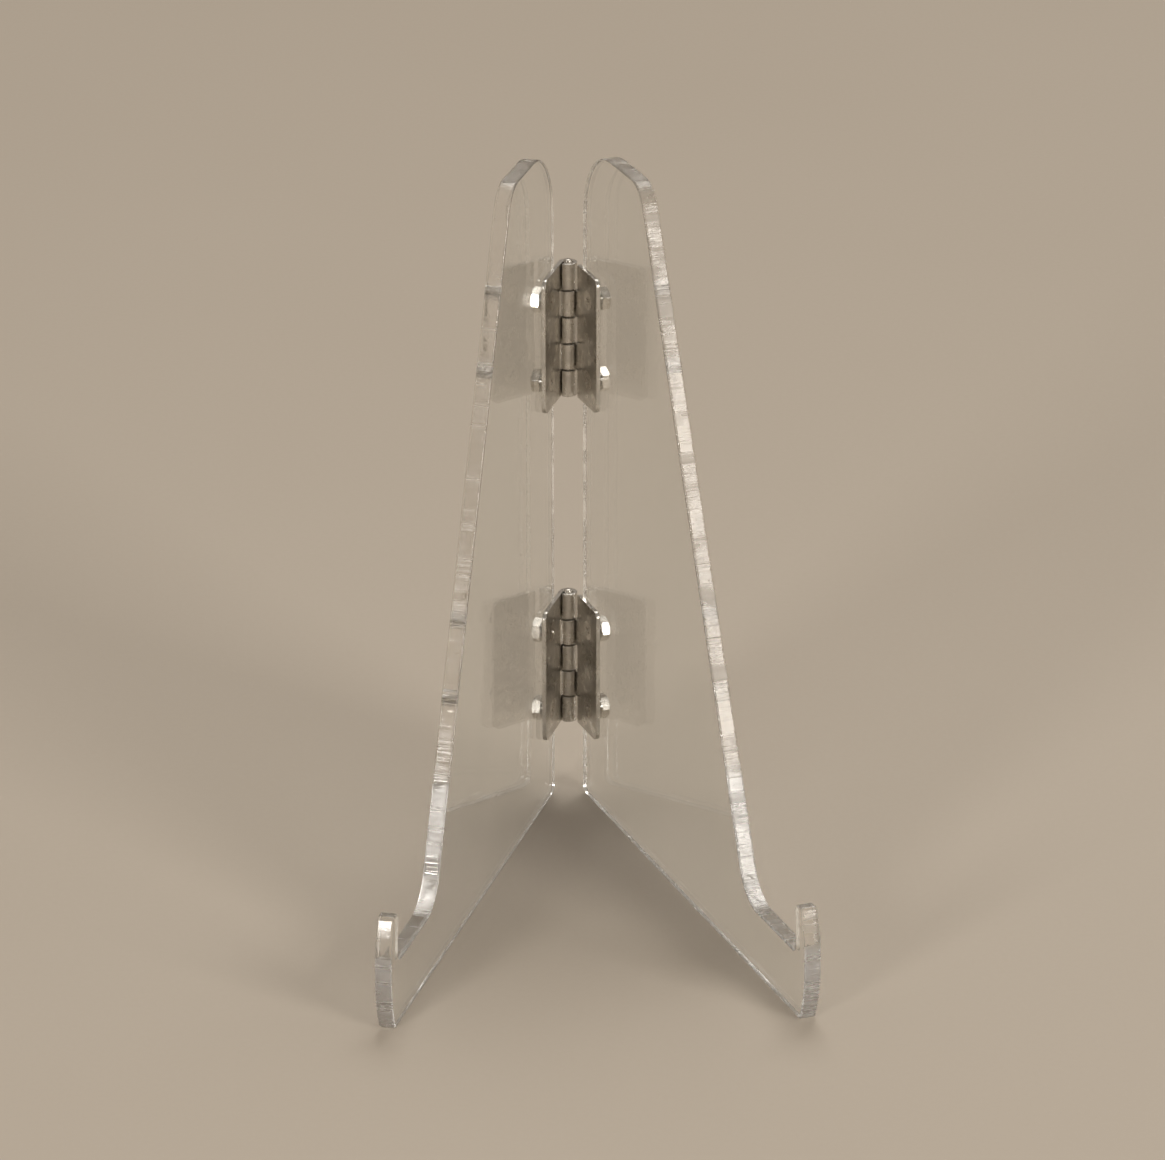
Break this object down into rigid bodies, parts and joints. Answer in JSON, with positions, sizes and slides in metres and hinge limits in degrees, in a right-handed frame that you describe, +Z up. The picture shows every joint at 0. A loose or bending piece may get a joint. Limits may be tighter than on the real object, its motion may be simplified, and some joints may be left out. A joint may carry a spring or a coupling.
{
  "type": "plate display stand",
  "caption": "Folding clear acrylic easel for a plate: flat side panels in a V, with front lips, ledges and leaning back rests, joined by metal butt hinges at the rear.",
  "frame": {"origin": "on the surface the stand stands on, under the middle of its outline as seen from above", "axes": "+Z up, the feet and lips point to -Y, the hinges are at +Y, and +X is to the right seen from the front"},
  "size_m": [0.0764, 0.1044, 0.127],
  "materials": {
    "clear_acrylic": "clear cast sheet, polished faces, buffed edges",
    "hinge_metal": "satin nickel plate",
    "fastener_metal": "bright zinc-nickel plate"
  },
  "bodies": {
    "left_side": {"left_panel": "clear_acrylic", "lower_hinge_left_leaf": "hinge_metal", "lower_hinge_pin": "hinge_metal", "lower_hinge_left_bottom_screw": "fastener_metal", "lower_hinge_left_bottom_nut": "fastener_metal", "lower_hinge_left_top_screw": "fastener_metal", "lower_hinge_left_top_nut": "fastener_metal", "upper_hinge_left_leaf": "hinge_metal", "upper_hinge_pin": "hinge_metal", "upper_hinge_left_bottom_screw": "fastener_metal", "upper_hinge_left_bottom_nut": "fastener_metal", "upper_hinge_left_top_screw": "fastener_metal", "upper_hinge_left_top_nut": "fastener_metal"},
    "right_side": {"right_panel": "clear_acrylic", "lower_hinge_right_leaf": "hinge_metal", "lower_hinge_right_bottom_screw": "fastener_metal", "lower_hinge_right_bottom_nut": "fastener_metal", "lower_hinge_right_top_screw": "fastener_metal", "lower_hinge_right_top_nut": "fastener_metal", "upper_hinge_right_leaf": "hinge_metal", "upper_hinge_right_bottom_screw": "fastener_metal", "upper_hinge_right_bottom_nut": "fastener_metal", "upper_hinge_right_top_screw": "fastener_metal", "upper_hinge_right_top_nut": "fastener_metal"}
  },
  "joints": [
    {"name": "panel_fold", "type": "hinge", "parent": "left_side", "child": "right_side", "pos_m": [0, 0.05053, 0], "axis": [0, 0, 1], "range_deg": [-36, 144]}
  ]
}
